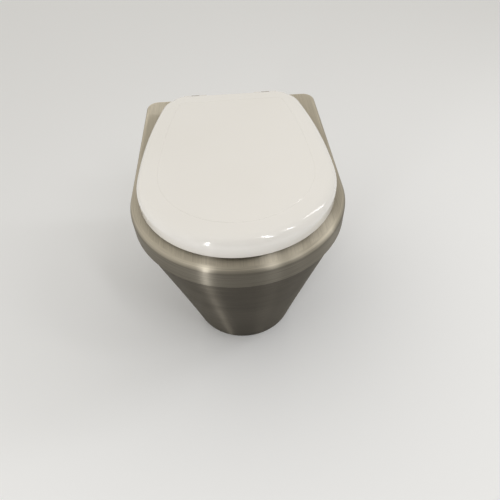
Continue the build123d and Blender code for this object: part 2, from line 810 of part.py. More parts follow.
with BuildPart() as outlet_pipe:
    with BuildSketch(along_y(0, pipe_front, pipe_height)):
        Circle(outlet_radius)
        Circle(outlet_bore_radius, mode=Mode.SUBTRACT)
    extrude(amount=outlet_end_y - pipe_front)
    with BuildSketch(along_y(0, panel_y + outlet_bead_place, pipe_height)):
        Circle(outlet_radius + outlet_bead_rise)
        Circle(outlet_radius - 1, mode=Mode.SUBTRACT)
    extrude(amount=outlet_bead_width)
    with BuildSketch(Plane.XY.offset(pipe_height + outlet_bore_radius + 1)):
        with Locations((0, tap_y)):
            Circle(tube_bore - tube_fit)
    extrude(amount=outlet_radius - outlet_bore_radius - 1 + nipple_length)
save(outlet_pipe, "outlet_pipe")

with BuildPart() as outlet_sleeve:
    with BuildSketch(along_y(0, valve_y + body_radius + spigot_gap, pipe_height)):
        Circle(outlet_radius + boot_fit + sleeve_wall)
        Circle(outlet_radius + boot_fit, mode=Mode.SUBTRACT)
    extrude(amount=panel_y - sleeve_end_gap - valve_y - body_radius - spigot_gap)
save(outlet_sleeve, "outlet_sleeve")

grommet_bore = outlet_radius + thread_gap
grommet_waist = grommet_bore + grommet_wall

with BuildPart() as pipe_grommet:
    with BuildSketch(along_y(0, panel_y - grommet_lip, pipe_height)):
        Circle(grommet_waist + grommet_lip)
        Circle(grommet_bore, mode=Mode.SUBTRACT)
    extrude(amount=grommet_lip)
    with BuildSketch(along_y(0, panel_y, pipe_height)):
        Circle(grommet_waist)
        Circle(grommet_bore, mode=Mode.SUBTRACT)
    extrude(amount=sheet)
    with BuildSketch(along_y(0, panel_y + sheet, pipe_height)):
        Circle(grommet_waist + grommet_lip)
        Circle(grommet_bore, mode=Mode.SUBTRACT)
    extrude(amount=grommet_lip)
save(pipe_grommet, "pipe_grommet")

# Hose clamps: a band and its screw on each end of the boot and of the sleeve.
boot_clamp = boot_radius + boot_wall + thread_gap
sleeve_clamp = outlet_radius + boot_fit + sleeve_wall + thread_gap
neck_clamp_z = neck_bottom + boot_grip / 2
neck_clamp_origin = (0, neck_y, neck_clamp_z - clamp_width / 2)
neck_clamp_plane = Plane(origin=neck_clamp_origin, x_dir=(0, -1, 0), z_dir=(0, 0, 1))
clamp_places = (
    (neck_clamp_plane, boot_clamp),
    (along_y(0, spigot_front + 8, pipe_height), boot_clamp),
    (along_y(0, valve_y + body_radius + 8, pipe_height), sleeve_clamp),
    (along_y(0, pipe_front + 3, pipe_height), sleeve_clamp),
)

with BuildPart() as hose_clamps:
    for place, radius in clamp_places:
        with BuildSketch(place):
            Circle(radius + clamp_band)
            Circle(radius, mode=Mode.SUBTRACT)
        extrude(amount=clamp_width)
        screw_reach = radius + clamp_band + clamp_screw_radius
        screw_centre = place.from_local_coords((screw_reach, 0, clamp_width / 2))
        screw_plane = Plane(origin=screw_centre, x_dir=place.x_dir, z_dir=place.y_dir)
        with BuildSketch(screw_plane):
            Circle(clamp_screw_radius)
            with Locations((-clamp_screw_radius / 2 - clamp_band / 2, 0)):
                Rectangle(clamp_screw_radius + clamp_band, clamp_width)
        extrude(amount=clamp_screw_length / 2, both=True)
        with BuildSketch(place):
            Circle(radius)
        extrude(amount=clamp_width, mode=Mode.SUBTRACT)
save(hose_clamps, "hose_clamps")

# Control unit: the closed box that times the flush, its cover and the cover's screws.
pilot_run_y = panel_y - pilot_tube_gap
vacuum_run_y = panel_y - vacuum_tube_gap

with BuildPart() as control_unit:
    with BuildSketch(Plane.XY.offset(control_bottom)):
        with Locations((control_x, control_back - control_depth / 2)):
            RectangleRounded(control_width, control_depth, 4)
    extrude(amount=control_height)
    for height, gap in ((button_tube_z, button_tube_gap), (actuator_tube_z, actuator_tube_gap)):
        port = Plane(origin=(control_left, panel_y - gap, height), x_dir=(0, 1, 0), z_dir=(-1, 0, 0))
        with BuildSketch(port):
            Circle(tube_bore - tube_fit)
        extrude(amount=nipple_length)
    with BuildSketch(Plane.XY.offset(control_bottom)):
        with Locations((pilot_tube_x, pilot_run_y), (vacuum_tube_x, vacuum_run_y)):
            Circle(tube_bore - tube_fit)
    extrude(amount=-nipple_length)
save(control_unit, "control_unit")

cover_x = control_width - 2 * cover_screw_inset
cover_z = control_height - 2 * cover_screw_inset
cover_plane = Plane(
    origin=(control_x, control_back - control_depth, control_bottom + control_height / 2),
    x_dir=(1, 0, 0),
    z_dir=(0, -1, 0),
)

with BuildPart() as control_cover:
    with BuildSketch(cover_plane):
        RectangleRounded(control_width, control_height, 4)
        with GridLocations(cover_x, cover_z, 2, 2):
            Circle(screw_radius + thread_gap, mode=Mode.SUBTRACT)
    extrude(amount=cover_sheet)
save(control_cover, "control_cover")

with BuildPart() as cover_screws:
    with BuildSketch(cover_plane):
        with GridLocations(cover_x, cover_z, 2, 2):
            Circle(screw_radius)
    extrude(amount=cover_sheet)
    with BuildSketch(cover_plane.offset(cover_sheet)):
        with GridLocations(cover_x, cover_z, 2, 2):
            Circle(screw_head_radius - 1)
    extrude(amount=screw_head_height)
save(cover_screws, "cover_screws")

# Pilot tubes: button to box, box to actuator, box to water valve, and pipe vacuum to box.
button_port = rim_height - housing_depth - nipple_length
tube_end = 2.0
button_run_y = panel_y - button_tube_gap
actuator_run_y = panel_y - actuator_tube_gap
button_points = (
    (0, button_y, button_port + nipple_length - tube_end),
    (0, button_y, button_tube_z),
    (0, button_run_y, button_tube_z),
    (control_left - tube_end, button_run_y, button_tube_z),
)
actuator_points = (
    (control_left - tube_end, actuator_run_y, actuator_tube_z),
    (0, actuator_run_y, actuator_tube_z),
    (0, valve_y, actuator_tube_z),
    (0, valve_y, cylinder_top + plate_height + tube_end),
)
pilot_points = (
    (pilot_tube_x, pilot_run_y, control_bottom - tube_end),
    (pilot_tube_x, pilot_run_y, pilot_tube_z),
    (water_x, pilot_run_y, pilot_tube_z),
    (water_x, water_y, pilot_tube_z),
    (water_x, water_y, water_floor - tube_end),
)
vacuum_points = (
    (vacuum_tube_x, vacuum_run_y, control_bottom - tube_end),
    (vacuum_tube_x, vacuum_run_y, vacuum_tube_z),
    (vacuum_tube_x, tap_y, vacuum_tube_z),
    (0, tap_y, vacuum_tube_z),
    (0, tap_y, check_top + tube_end),
)
tap_top = pipe_height + outlet_radius + nipple_length
button_tube = tube(button_points, tube_radius, tube_bore, tube_bend)
save(button_tube, "button_tube")
actuator_tube = tube(actuator_points, tube_radius, tube_bore, tube_bend)
save(actuator_tube, "actuator_tube")
pilot_tube = tube(pilot_points, tube_radius, tube_bore, tube_bend)
save(pilot_tube, "pilot_tube")

with BuildPart() as vacuum_tube:
    with BuildLine() as vacuum_path:
        FilletPolyline(*vacuum_points, radius=tube_bend)
    with BuildSketch(Plane(origin=vacuum_path.line @ 0, z_dir=vacuum_path.line % 0)):
        Circle(tube_radius)
        Circle(tube_bore, mode=Mode.SUBTRACT)
    sweep()
    with BuildSketch(Plane.XY.offset(tap_top - nipple_length + tube_end)):
        with Locations((0, tap_y)):
            Circle(tube_radius)
            Circle(tube_bore, mode=Mode.SUBTRACT)
    extrude(amount=check_bottom - tap_top + nipple_length - 2 * tube_end)
save(vacuum_tube, "vacuum_tube")

with BuildPart() as check_valve:
    with BuildSketch(Plane.XY.offset(check_bottom)):
        with Locations((0, tap_y)):
            Circle(check_radius)
    extrude(amount=check_top - check_bottom)
    chamfer(check_valve.edges(), 2)
    with BuildSketch(Plane.XY.offset(check_bottom - nipple_length)):
        with Locations((0, tap_y)):
            Circle(tube_bore - tube_fit)
    extrude(amount=check_top - check_bottom + 2 * nipple_length)
save(check_valve, "check_valve")

# Rear panel: a removable plate that follows the pedestal's taper, with its pipe and tube holes.
panel_corners = [(wall_x(height) - panel_gap, height) for height in (panel_bottom, band_bottom)]
screw_places = [(wall_x(height) - panel_gap - flange_width / 2, height) for height in screw_heights]

with BuildPart() as rear_panel:
    with BuildSketch(along_y(0, panel_y, 0)):
        with BuildLine():
            Polyline(
                panel_corners[0],
                panel_corners[1],
                (panel_corners[1][0], panel_top),
                (-panel_corners[1][0], panel_top),
                (-panel_corners[1][0], panel_corners[1][1]),
                (-panel_corners[0][0], panel_corners[0][1]),
                close=True,
            )
        make_face()
        with Locations((0, pipe_height)):
            Circle(grommet_waist + thread_gap, mode=Mode.SUBTRACT)
        with Locations((-water_x, inlet_height)):
            Circle(inlet_radius + hole_clearance, mode=Mode.SUBTRACT)
        with Locations((0, button_tube_z), (-vacuum_tube_x, vacuum_tube_z)):
            Circle(tube_hole_radius, mode=Mode.SUBTRACT)
        for side in (-1, 1):
            with Locations(*[(side * across, height) for across, height in screw_places]):
                Circle(screw_radius + thread_gap, mode=Mode.SUBTRACT)
    extrude(amount=sheet)
save(rear_panel, "rear_panel")


def panel_flange(side):
    """An angle strip down one wall that the rear panel screws to."""
    low = wall_x(flange_bottom)
    high = wall_x(flange_top)
    with BuildPart() as strip:
        for reach, depth in ((flange_width, flange_sheet), (flange_sheet, flange_width)):
            with BuildSketch(Plane(origin=(0, panel_y, 0), x_dir=(1, 0, 0), z_dir=(0, -1, 0))):
                with BuildLine():
                    Polyline(
                        (side * low, flange_bottom),
                        (side * high, flange_top),
                        (side * (high - reach), flange_top),
                        (side * (low - reach), flange_bottom),
                        close=True,
                    )
                make_face()
            extrude(amount=depth)
        with BuildSketch(Plane(origin=(0, panel_y, 0), x_dir=(1, 0, 0), z_dir=(0, -1, 0))):
            with Locations(*[(side * across, height) for across, height in screw_places]):
                Circle(screw_radius + thread_gap)
        extrude(amount=flange_sheet, mode=Mode.SUBTRACT)
    return strip


panel_flange_left = panel_flange(-1)
save(panel_flange_left, "panel_flange_left")
panel_flange_right = panel_flange(1)
save(panel_flange_right, "panel_flange_right")

# Panel screws: six pan heads on the back of the panel.
with BuildPart() as panel_screws:
    for side in (-1, 1):
        for across, height in screw_places:
            with BuildSketch(along_y(side * across, panel_y + sheet - screw_length, height)):
                Circle(screw_radius)
            extrude(amount=screw_length)
            with BuildSketch(along_y(side * across, panel_y + sheet, height)):
                Circle(screw_head_radius)
            extrude(amount=screw_head_height)
save(panel_screws, "panel_screws")

# Floor feet: four angle brackets inside the pedestal, each with one anchor hole.
with BuildPart() as floor_feet:
    for side in (-1, 1):
        for foot_y in (foot_front_y, foot_rear_y):
            with BuildSketch(Plane.XZ.offset(-foot_y)):
                with BuildLine():
                    Polyline(
                        (side * wall_x(0), 0),
                        (side * wall_x(foot_upstand), foot_upstand),
                        (side * (wall_x(foot_upstand) - foot_sheet), foot_upstand),
                        (side * (wall_x(foot_sheet) - foot_sheet), foot_sheet),
                        (side * (wall_x(0) - foot_reach), foot_sheet),
                        (side * (wall_x(0) - foot_reach), 0),
                        close=True,
                    )
                make_face()
            extrude(amount=foot_length / 2, both=True)
            with BuildSketch(Plane.XY):
                with Locations((side * (wall_x(0) - foot_bolt_inset), foot_y)):
                    Circle(foot_bolt_radius)
            extrude(amount=foot_sheet, mode=Mode.SUBTRACT)
save(floor_feet, "floor_feet")

# Hinge posts: a flanged stainless block each side with a rounded head for the pin.
post_bolt_top = rim_height + bolt_engagement


def hinge_post(side):
    """One post on the deck, bored across for the pin and threaded from below."""
    with BuildPart() as post:
        with Locations((side * post_x, hinge_y, rim_height)):
            Cylinder(post_flange_radius, post_flange_height, align=UP)
            Box(post_width, post_depth, hinge_rise, align=UP)
        across = Plane(origin=(side * post_x, hinge_y, hinge_z), x_dir=(0, 1, 0), z_dir=(1, 0, 0))
        with BuildSketch(across):
            Circle(post_depth / 2)
        extrude(amount=post_width / 2, both=True)
        with BuildSketch(across):
            Circle(pin_radius + pin_seat_clearance)
        extrude(amount=post_width / 2, both=True, mode=Mode.SUBTRACT)
        with Locations((side * post_x, hinge_y, rim_height)):
            Cylinder(bolt_radius + thread_gap, bolt_engagement, align=UP, mode=Mode.SUBTRACT)
    return post


hinge_post_left = hinge_post(-1)
save(hinge_post_left, "hinge_post_left")
hinge_post_right = hinge_post(1)
save(hinge_post_right, "hinge_post_right")

# Hinge pins: one rod through each post, long enough for the seat's lug and the lid's.
pin_half = post_width / 2 + lug_side_gap + lug_width + pin_overhang

with BuildPart() as hinge_pins:
    for side in (-1, 1):
        with BuildSketch(Plane(origin=(side * post_x, hinge_y, hinge_z), x_dir=(0, 1, 0), z_dir=(1, 0, 0))):
            Circle(pin_radius)
        extrude(amount=pin_half, both=True)
save(hinge_pins, "hinge_pins")

# Hinge fixings under the deck: backing plates, washers and hexagon bolts up into the posts.
plate_bottom = deck_underside - backing_plate
washer_bottom = plate_bottom - washer_height

with BuildPart() as hinge_backing:
    with BuildSketch(Plane.XY.offset(plate_bottom)):
        with Locations((0, hinge_y)):
            with GridLocations(hinge_spread, 0, 2, 1):
                RectangleRounded(backing_length, backing_width, 4)
                Circle(bolt_radius + bolt_clearance, mode=Mode.SUBTRACT)
    extrude(amount=backing_plate)
save(hinge_backing, "hinge_backing")

with BuildPart() as hinge_washers:
    with BuildSketch(Plane.XY.offset(washer_bottom)):
        with Locations((0, hinge_y)):
            with GridLocations(hinge_spread, 0, 2, 1):
                Circle(washer_radius)
                Circle(bolt_radius + bolt_clearance, mode=Mode.SUBTRACT)
    extrude(amount=washer_height)
save(hinge_washers, "hinge_washers")

with BuildPart() as hinge_bolts:
    with BuildSketch(Plane.XY.offset(washer_bottom)):
        with Locations((0, hinge_y)):
            with GridLocations(hinge_spread, 0, 2, 1):
                Circle(bolt_radius)
    extrude(amount=post_bolt_top - washer_bottom - 1)
    with BuildSketch(Plane.XY.offset(washer_bottom - bolt_head_height)):
        with Locations((0, hinge_y)):
            with GridLocations(hinge_spread, 0, 2, 1):
                RegularPolygon(bolt_head_radius, 6)
    extrude(amount=bolt_head_height)
save(hinge_bolts, "hinge_bolts")

# Seat: a closed ring with rounded top edges and two lugs at the back that reach the pins.
seat_lug_x = post_x - post_width / 2 - lug_side_gap - lug_width / 2
lid_lug_x = post_x + post_width / 2 + lug_side_gap + lug_width / 2
seat_back = lid_back_y - seat_inset
seat_opening_x = opening_half_width - seat_overhang_x
seat_opening_y = opening_half_length - seat_overhang_y

with BuildPart() as seat:
    with BuildSketch(Plane.XY.offset(seat_bottom)):
        with BuildLine():
            draw_lid_outline(seat_inset)
        make_face()
        with Locations((0, bowl_y)):
            Ellipse(seat_opening_x, seat_opening_y, mode=Mode.SUBTRACT)
    extrude(amount=seat_thickness)
    fillet(seat.faces().sort_by(Axis.Z)[-1].edges(), seat_edge_radius)
    for side in (-1, 1):
        lug_plane = Plane(origin=(side * seat_lug_x, 0, 0), x_dir=(0, 1, 0), z_dir=(1, 0, 0))
        with BuildSketch(lug_plane):
            Polygon(
                (seat_back - seat_lug_depth, seat_bottom + 2),
                (hinge_y, hinge_z - lug_radius),
                (hinge_y, hinge_z + lug_radius),
                (seat_back - seat_lug_depth, seat_top - 0.5),
                align=None,
            )
            with Locations((hinge_y, hinge_z)):
                Circle(lug_radius)
        extrude(amount=lug_width / 2, both=True)
        with BuildSketch(lug_plane):
            with Locations((hinge_y, hinge_z)):
                Circle(pin_radius + bush_clearance)
        extrude(amount=lug_width / 2, both=True, mode=Mode.SUBTRACT)
save(seat, "seat")

# Seat buffers: four rubber pads that carry the seat on the deck.
with BuildPart() as seat_buffers:
    with BuildSketch(Plane.XY.offset(rim_height)):
        with Locations((0, front_y + front_buffer_setback)):
            with GridLocations(2 * front_buffer_x, 0, 2, 1):
                SlotOverall(buffer_length, buffer_width)
        with Locations((0, hinge_y - rear_buffer_setback)):
            with GridLocations(2 * rear_buffer_x, 0, 2, 1):
                SlotOverall(buffer_length, buffer_width)
    extrude(amount=seat_lift)
save(seat_buffers, "seat_buffers")


def lid_block(inset, drop):
    """The lid's pillow form, moved in by inset and down by drop."""
    roll_z = lid_top - lid_bevel_drop - drop
    with BuildPart() as block:
        with BuildSketch(Plane.XY.offset(lid_bottom)):
            with BuildLine():
                draw_lid_outline(inset)
            make_face()
        extrude(amount=roll_z - lid_bottom)
        with BuildSketch(Plane.XY.offset(roll_z)):
            with BuildLine():
                draw_lid_outline(inset)
            make_face()
        with BuildSketch(Plane.XY.offset(lid_top - drop)):
            with BuildLine():
                draw_lid_outline(lid_crease_inset)
            make_face()
        loft(ruled=True)
        rim = block.edges().filter_by_position(Axis.Z, roll_z - 0.01, roll_z + 0.01)
        fillet(rim, lid_roll_radius - inset)
    return block.part


# Lid: a wrap-over shell with a flat top, a soft crease, a rolled edge and two hinge lugs.
notch_height = hinge_z + lug_radius + lid_notch_clearance - lid_bottom

with BuildPart() as lid:
    add(lid_block(0, 0))
    add(lid_block(lid_wall, lid_wall), mode=Mode.SUBTRACT)
    with BuildSketch(Plane.XY.offset(lid_bottom)):
        with Locations((0, hinge_y - lid_heel_reach)):
            Rectangle(2 * lid_half_width, lid_heel_reach, align=(Align.CENTER, Align.MIN))
    extrude(amount=lid_heel_lift, mode=Mode.SUBTRACT)
    for side in (-1, 1):
        with BuildSketch(Plane(origin=(side * seat_lug_x, 0, 0), x_dir=(0, 1, 0), z_dir=(1, 0, 0))):
            with Locations((lid_back_y, lid_bottom)):
                Rectangle(2 * lid_roll_radius, notch_height, align=(Align.CENTER, Align.MIN))
        extrude(amount=lug_width / 2 + lid_notch_clearance, both=True, mode=Mode.SUBTRACT)
        lug_plane = Plane(origin=(side * lid_lug_x, 0, 0), x_dir=(0, 1, 0), z_dir=(1, 0, 0))
        with BuildSketch(lug_plane):
            Polygon(
                (lid_back_y - lid_wall + 1, lid_bottom + lid_heel_lift + 1),
                (hinge_y, hinge_z - lug_radius),
                (hinge_y, hinge_z + lug_radius),
                (lid_back_y - lid_wall + 1, hinge_z + lug_radius - 0.5),
                align=None,
            )
            with Locations((hinge_y, hinge_z)):
                Circle(lug_radius)
        extrude(amount=lug_width / 2, both=True)
        with BuildSketch(lug_plane):
            with Locations((hinge_y, hinge_z)):
                Circle(pin_radius + bush_clearance)
        extrude(amount=lug_width / 2, both=True, mode=Mode.SUBTRACT)
save(lid, "lid")

# Lid buffers: four rubber discs inside the lid that rest on the seat.
with BuildPart() as lid_buffers:
    with BuildSketch(Plane.XY.offset(seat_top)):
        for place_y in (front_y + lid_buffer_front, hinge_y - lid_buffer_rear):
            with Locations((-lid_buffer_x, place_y), (lid_buffer_x, place_y)):
                Circle(lid_buffer_radius)
    extrude(amount=lid_top - lid_wall - seat_top)
save(lid_buffers, "lid_buffers")

# Flush button: a sprung cap in a flanged housing that a ring nut clamps through the deck.
housing_bottom = rim_height - housing_depth
button_top = rim_height + button_rise

with BuildPart() as button_housing:
    with Locations((0, button_y, housing_bottom)):
        Cylinder(housing_radius, housing_depth, align=UP)
    with Locations((0, button_y, rim_height)):
        Cylinder(bezel_radius, bezel_height, align=UP)
    with Locations((0, button_y, housing_bottom + button_wall)):
        Cylinder(button_radius + button_clearance, 2 * housing_depth, align=UP, mode=Mode.SUBTRACT)
    with Locations((0, button_y, button_port)):
        Cylinder(tube_bore - tube_fit, nipple_length, align=UP)
save(button_housing, "button_housing")

with BuildPart() as flush_button:
    with Locations((0, button_y, button_top - button_skirt)):
        Cylinder(button_radius, button_skirt, align=UP)
        Cylinder(button_radius - button_wall, button_skirt - button_wall, align=UP, mode=Mode.SUBTRACT)
    fillet(flush_button.edges().group_by(Axis.Z)[-1], 1)
save(flush_button, "flush_button")

button_spring = coil(
    (0, button_y),
    button_spring_radius,
    button_spring_wire,
    button_spring_turns,
    housing_bottom + button_wall + 0.1,
    button_top - button_wall - 0.1,
)
save(button_spring, "button_spring")

with BuildPart() as button_nut:
    with Locations((0, button_y, deck_underside - housing_nut_height)):
        Cylinder(bezel_radius, housing_nut_height, align=UP)
        Cylinder(housing_radius + thread_gap, housing_nut_height, align=UP, mode=Mode.SUBTRACT)
save(button_nut, "button_nut")
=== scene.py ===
"""Dresses the vacuum toilet: a brushed steel body, a glossy white seat and lid, and its valves."""

import json
from math import atan2, cos, hypot, pi, radians, sin, sqrt, tan

import bpy
from mathutils import Matrix, Vector


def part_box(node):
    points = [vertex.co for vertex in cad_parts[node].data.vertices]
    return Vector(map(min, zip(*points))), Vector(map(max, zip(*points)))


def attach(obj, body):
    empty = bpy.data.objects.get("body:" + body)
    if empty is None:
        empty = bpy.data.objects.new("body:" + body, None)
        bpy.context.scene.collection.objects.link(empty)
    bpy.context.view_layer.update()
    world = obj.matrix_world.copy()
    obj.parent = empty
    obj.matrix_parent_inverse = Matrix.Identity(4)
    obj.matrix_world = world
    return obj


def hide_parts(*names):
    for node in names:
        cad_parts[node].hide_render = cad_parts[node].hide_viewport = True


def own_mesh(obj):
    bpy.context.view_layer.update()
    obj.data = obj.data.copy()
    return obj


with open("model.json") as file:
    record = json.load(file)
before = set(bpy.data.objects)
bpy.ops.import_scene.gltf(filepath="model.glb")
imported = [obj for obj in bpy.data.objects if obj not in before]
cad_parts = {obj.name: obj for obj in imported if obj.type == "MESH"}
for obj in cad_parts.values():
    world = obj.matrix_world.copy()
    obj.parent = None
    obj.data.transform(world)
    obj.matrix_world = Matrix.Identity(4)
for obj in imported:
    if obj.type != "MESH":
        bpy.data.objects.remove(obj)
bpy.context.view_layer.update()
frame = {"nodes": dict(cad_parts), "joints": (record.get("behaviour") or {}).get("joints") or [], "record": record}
nodes = frame["nodes"]


# Camera: above and in front of the nose, turned a little to the right and rolled a little, at the
# place and focal length that the outlines in the photograph give for an object of this size.
MM = 0.001
CAMERA_PLACE = (-4.64 * MM, -683.5 * MM, 915.3 * MM)
CAMERA_YAW = radians(-2.18)
CAMERA_PITCH = radians(-47.74)
CAMERA_ROLL = radians(-2.32)
FOCAL_PIXELS = 430.2
IMAGE_PIXELS = 500
SENSOR_WIDTH = 36.0
NEAR_CLIP = 0.01

bpy.ops.object.camera_add(location=CAMERA_PLACE)
camera = bpy.context.object
camera.name = "photo_camera"
turn = Matrix.Rotation(CAMERA_YAW, 4, "Z") @ Matrix.Rotation(pi / 2 + CAMERA_PITCH, 4, "X")
camera.rotation_euler = (turn @ Matrix.Rotation(CAMERA_ROLL, 4, "Z")).to_euler()
camera.data.sensor_width = SENSOR_WIDTH
camera.data.lens = FOCAL_PIXELS / IMAGE_PIXELS * SENSOR_WIDTH
camera.data.clip_start = NEAR_CLIP
bpy.context.scene.camera = camera


# Stage: a plain pale floor in an even pale room that is darker in front, so that the steel there
# stays dark. A tall narrow lamp low at the front left gives the steel its streak, two soft ones
# above give the lid its highlights, and a long one at the right lights that side.
def linear(hexa, alpha=1.0):
    """An sRGB hex colour as the linear values Blender uses."""
    parts = [int(hexa[i : i + 2], 16) / 255 for i in (1, 3, 5)]
    return [p / 12.92 if p < 0.04045 else ((p + 0.055) / 1.055) ** 2.4 for p in parts] + [alpha]


def add_node(tree, kind, links=None, **settings):
    """Adds a shader node, sets its properties and sockets, and links its inputs."""
    node = tree.nodes.new("ShaderNode" + kind)
    for name, value in settings.items():
        setattr(node, name, value)
    for key, value in (links or {}).items():
        socket = node.inputs[key]
        if isinstance(value, bpy.types.NodeSocket):
            tree.links.new(value, socket)
        else:
            socket.default_value = value
    return node


def new_material(name):
    """An empty node material with its Principled shader and the object's own coordinates."""
    material = bpy.data.materials.new(name)
    material.use_nodes = True
    tree = material.node_tree
    shader = tree.nodes["Principled BSDF"]
    place = add_node(tree, "TexCoord").outputs["Object"]
    return material, tree, shader, place


bpy.context.scene.view_settings.view_transform = "Standard"

FLOOR_HALF = 6.0
bpy.ops.mesh.primitive_plane_add(size=2 * FLOOR_HALF, location=(0, 0, 0))
floor = bpy.context.object
floor.name = "studio_floor"
floor_paint, tree, shader, place = new_material("pale_floor_paint")
shader.inputs["Base Color"].default_value = linear("#F2F3F5")
shader.inputs["Roughness"].default_value = 0.9
shader.inputs["Specular IOR Level"].default_value = 0.1
floor.data.materials.append(floor_paint)

world = bpy.data.worlds.new("studio_world")
bpy.context.scene.world = world
world.use_nodes = True
sky = world.node_tree
look = add_node(sky, "TexCoord").outputs["Generated"]
DARK_SIDE = Vector((0.12, -0.95, 0.3)).normalized()  # towards the darkest part of the room
ahead = add_node(sky, "VectorMath", {0: look, 1: DARK_SIDE}, operation="DOT_PRODUCT")
ahead = ahead.outputs["Value"]
fade = {"Value": ahead, "From Min": 0.45, "From Max": 0.95, "To Min": 1.0, "To Max": 0.2}
depth = add_node(sky, "MapRange", fade, interpolation_type="SMOOTHSTEP").outputs["Result"]
across = add_node(sky, "SeparateXYZ", {"Vector": look}).outputs["X"]
fade = {"Value": across, "From Min": -0.9, "From Max": 0.9, "To Min": 1.02, "To Max": 0.74}
side = add_node(sky, "MapRange", fade).outputs["Result"]
level = add_node(sky, "Math", {0: depth, 1: side}, operation="MULTIPLY")
sky.nodes["Background"].inputs["Color"].default_value = linear("#F4F1EA")
sky.links.new(level.outputs["Value"], sky.nodes["Background"].inputs["Strength"])

LAMPS = (
    # name, place, aim, width and height in metres, power in watts
    ("streak_lamp", (-0.95, -1.59, 0.62), (-0.05, -0.26, 0.4), 0.04, 1.0, 6.0),
    ("front_lamp", (0.8, -1.3, 2.1), (0.05, -0.2, 0.45), 0.16, 0.9, 6.0),
    ("corner_lamp", (1.25, -0.75, 1.9), (0.1, -0.15, 0.45), 0.14, 0.5, 2.4),
    ("right_lamp", (1.7, 0.1, 1.6), (0.0, -0.1, 0.35), 0.18, 1.3, 5.0),
)
for name, place_at, aim, width, height, power in LAMPS:
    bpy.ops.object.light_add(type="AREA", location=place_at)
    lamp = bpy.context.object
    lamp.name = name
    lamp.data.shape = "RECTANGLE"
    lamp.data.size = width
    lamp.data.size_y = height
    lamp.data.energy = power
    lamp.rotation_euler = (Vector(aim) - Vector(place_at)).to_track_quat("-Z", "Y").to_euler()


# Deck and pedestal: 2 mm austenitic stainless sheet, pressed and rolled, then brushed with a belt
# round the body. The grain lies level, so lamps stretch into streaks that run up and down.
# The deck's band covers the pedestal's collar, and the pedestal carries it. The pedestal's steel
# is given darker colours than the deck's, as painted shade, and the deck above halfway up its
# rounded edge is painted brighter, as a painted highlight.
GRAIN_MM = 1.3  # real grit lines are 0.1 mm apart, too fine to show, so these are coarser
STROKE_MM = 140.0  # length of one stroke
STAIN_MM = 111.0  # from one stain to the next


def dress(material, *names):
    """Puts a material on CAD nodes that keep their own shape."""
    for name in names:
        mesh = nodes[name].data
        mesh.materials.clear()
        mesh.materials.append(material)


def brushed_steel(name, light, dark, roughness, bump_mm, stain_low, wheel_and_painted_light=None):
    """Stainless steel with stroke lines in its colour, gloss and height, and a soft stain down to
    the brightness stain_low. The lines lie level, and run front to back and calmer on a flat top.
    wheel_and_painted_light is a height in metres above which a soft wheel went over the belt's
    lines, with what it added to the roughness and how many times brighter the steel above that
    height is painted, as a painted highlight."""
    material, tree, shader, place = new_material(name)
    along, across = 1 / (STROKE_MM * MM), 1 / (GRAIN_MM * MM)
    runs = []
    for stretch in ((along, along, across), (across, along, across)):
        grain = add_node(tree, "Mapping", {"Vector": place, "Scale": stretch}).outputs["Vector"]
        noise = {"Vector": grain, "Scale": 1.0, "Detail": 4.0, "Roughness": 0.65}
        runs.append(add_node(tree, "TexNoise", noise).outputs["Fac"])
    level_run, top_run = runs
    calm = {"Value": top_run, "To Min": 0.25, "To Max": 0.75}
    top_run = add_node(tree, "MapRange", calm).outputs["Result"]
    facing = add_node(tree, "TexCoord").outputs["Normal"]
    up = add_node(tree, "SeparateXYZ", {"Vector": facing}).outputs["Z"]
    flat = {"Value": up, "From Min": 0.97, "From Max": 0.995}
    flat = add_node(tree, "MapRange", flat).outputs["Result"]
    runs = {0: flat, 2: level_run, 3: top_run}
    strokes = add_node(tree, "Mix", runs, data_type="FLOAT").outputs[0]

    lines = {"Value": strokes, "From Min": 0.34, "From Max": 0.66}
    lines = add_node(tree, "MapRange", lines).outputs["Result"]
    tints = {0: lines, 6: linear(dark), 7: linear(light)}
    shade = add_node(tree, "Mix", tints, data_type="RGBA").outputs[2]
    cloud = {"Vector": place, "Scale": 1 / (STAIN_MM * MM), "Detail": 3.0}
    cloud = add_node(tree, "TexNoise", cloud).outputs["Fac"]
    haze = {"Value": cloud, "From Min": 0.3, "From Max": 0.7, "To Min": stain_low}
    brightness = add_node(tree, "MapRange", haze).outputs["Result"]
    finish = {"Value": strokes, "To Min": roughness - 0.05, "To Max": roughness + 0.07}
    finish = add_node(tree, "MapRange", finish).outputs["Result"]
    if wheel_and_painted_light:
        wheel_and_painted_light_z, more_rough, painted_highlight_gain = wheel_and_painted_light
        height = add_node(tree, "SeparateXYZ", {"Vector": place}).outputs["Z"]
        edge = {"Value": height, "From Min": wheel_and_painted_light_z - 3 * MM, "From Max": wheel_and_painted_light_z + 3 * MM}
        rise = add_node(tree, "MapRange", {**edge, "To Max": more_rough}).outputs["Result"]
        finish = add_node(tree, "Math", {0: finish, 1: rise}).outputs["Value"]
        # Painted highlight: the colour above that height is multiplied up to painted_highlight_gain times.
        painted_highlight = add_node(tree, "MapRange", {**edge, "To Min": 1.0, "To Max": painted_highlight_gain})
        product = {0: brightness, 1: painted_highlight.outputs["Result"]}
        brightness = add_node(tree, "Math", product, operation="MULTIPLY").outputs["Value"]
    # The grain colour times the stain, and on the deck times the painted highlight as well.
    stained = {0: 1.0, 6: shade, 7: brightness}
    stain = add_node(tree, "Mix", stained, data_type="RGBA", blend_type="MULTIPLY")
    tree.links.new(stain.outputs[2], shader.inputs["Base Color"])
    tree.links.new(finish, shader.inputs["Roughness"])
    shader.inputs["Metallic"].default_value = 1.0
    shader.inputs["Anisotropic"].default_value = 1.0
    shader.inputs["Anisotropic Rotation"].default_value = 0.25
    around = add_node(tree, "Tangent", direction_type="RADIAL", axis="Z")
    tree.links.new(around.outputs["Tangent"], shader.inputs["Tangent"])
    relief = {"Height": strokes, "Distance": bump_mm * MM, "Strength": 0.5}
    tree.links.new(add_node(tree, "Bump", relief).outputs["Normal"], shader.inputs["Normal"])
    return material
